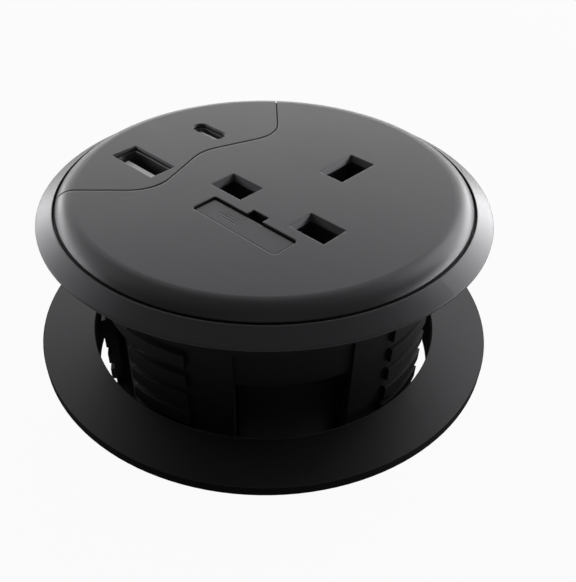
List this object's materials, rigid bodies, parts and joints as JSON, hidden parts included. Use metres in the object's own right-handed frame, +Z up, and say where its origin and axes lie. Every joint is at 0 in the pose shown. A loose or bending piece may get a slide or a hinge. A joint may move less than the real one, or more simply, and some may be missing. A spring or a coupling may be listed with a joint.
{
  "type": "in-desk power module",
  "caption": "Round power module for a hole in a desk, with a fused mains socket, charger ports, a sloped flange, and a threaded drum with a ring nut and clamp plate below the desk.",
  "frame": {"origin": "on the axis of the body, at the underside of the flange, which is the desk top's surface", "axes": "+Z up out of the desk; +X from the live to the neutral aperture; +Y towards the earth aperture"},
  "size_m": [0.1048, 0.1048, 0.0577],
  "materials": {
    "face_plastic": "satin charcoal, fine spark texture",
    "shell_plastic": "matt black",
    "clamp_plastic": "satin black",
    "socket_plastic": "matt dark grey, flame retardant",
    "shutter_plastic": "smooth self-lubricating dark grey",
    "inlet_plastic": "matt black",
    "contact_brass": "bright pressed",
    "pin_brass": "nickel plated",
    "screw_steel": "zinc plated",
    "spring_steel": "drawn wire",
    "fuse_glass": "clear",
    "cap_metal": "nickel plated",
    "port_steel": "nickel plated",
    "port_plastic": "black",
    "contact_gold": "gold plated",
    "board_green": "solder mask over glass laminate",
    "spacer_nylon": "natural nylon",
    "ferrite": "sintered grey",
    "winding_tape": "polyester tape over copper",
    "can_sleeve": "dark sleeve over the can",
    "film_box": "cast box",
    "choke_copper": "enamelled copper",
    "chip_black": "moulded",
    "barrier_board": "pressed insulating sheet",
    "wire_brown": "brown insulation",
    "wire_blue": "blue insulation",
    "wire_earth": "green and yellow insulation"
  },
  "bodies": {
    "module": {"face_plate": "face_plastic", "usb_insert": "face_plastic", "bezel_ring": "face_plastic", "body_shell": "shell_plastic", "base_cover": "shell_plastic", "base_screws": "screw_steel", "socket_deck": "socket_plastic", "socket_block": "socket_plastic", "block_screws": "screw_steel", "live_contact": "contact_brass", "neutral_contact": "contact_brass", "earth_contact": "contact_brass", "shutter_spring": "spring_steel", "fuse_clips": "contact_brass", "usb_a_shell": "port_steel", "usb_a_tongue": "port_plastic", "usb_a_contacts": "contact_gold", "usb_c_shell": "port_steel", "usb_c_tongue": "port_plastic", "usb_c_contacts": "contact_gold", "port_board": "board_green", "charger_board": "board_green", "board_spacers": "spacer_nylon", "transformer_core": "ferrite", "transformer_winding": "winding_tape", "smoothing_capacitors": "can_sleeve", "film_capacitor": "film_box", "choke": "choke_copper", "controller_chips": "chip_black", "insulation_barrier": "barrier_board", "mains_inlet": "inlet_plastic", "inlet_pins": "pin_brass", "live_wire": "wire_brown", "neutral_wire": "wire_blue", "earth_wire": "wire_earth"},
    "fuse_drawer": {"fuse_carrier": "face_plastic", "fuse_tube": "fuse_glass", "fuse_caps": "cap_metal"},
    "shutter": {"shutter": "shutter_plastic"},
    "clamp_plate": {"clamp_plate": "clamp_plastic"},
    "clamp_nut": {"clamp_nut": "clamp_plastic"}
  },
  "joints": [
    {"name": "fuse_drawer_lift", "type": "slide", "parent": "module", "child": "fuse_drawer", "axis": [0, 0, 1], "range_m": [0, 0.012]},
    {"name": "shutter_slide", "type": "slide", "parent": "module", "child": "shutter", "axis": [0, 1, 0], "range_m": [0, 0.0056], "stiffness_N_per_m": 60, "springref_m": -0.004, "deforming": ["shutter_spring"]},
    {"name": "clamp_plate_lift", "type": "slide", "parent": "module", "child": "clamp_plate", "axis": [0, 0, 1], "range_m": [-0.0054, 0.0162]},
    {"name": "clamp_nut_turn", "type": "hinge", "parent": "clamp_plate", "child": "clamp_nut", "pos_m": [0, 0, 0], "axis": [0, 0, 1], "range_deg": [-360, 1080]}
  ],
  "couplings": [
    {"joint": "clamp_plate_lift", "follows": "clamp_nut_turn", "m_per_rad": 0.00085944}
  ]
}
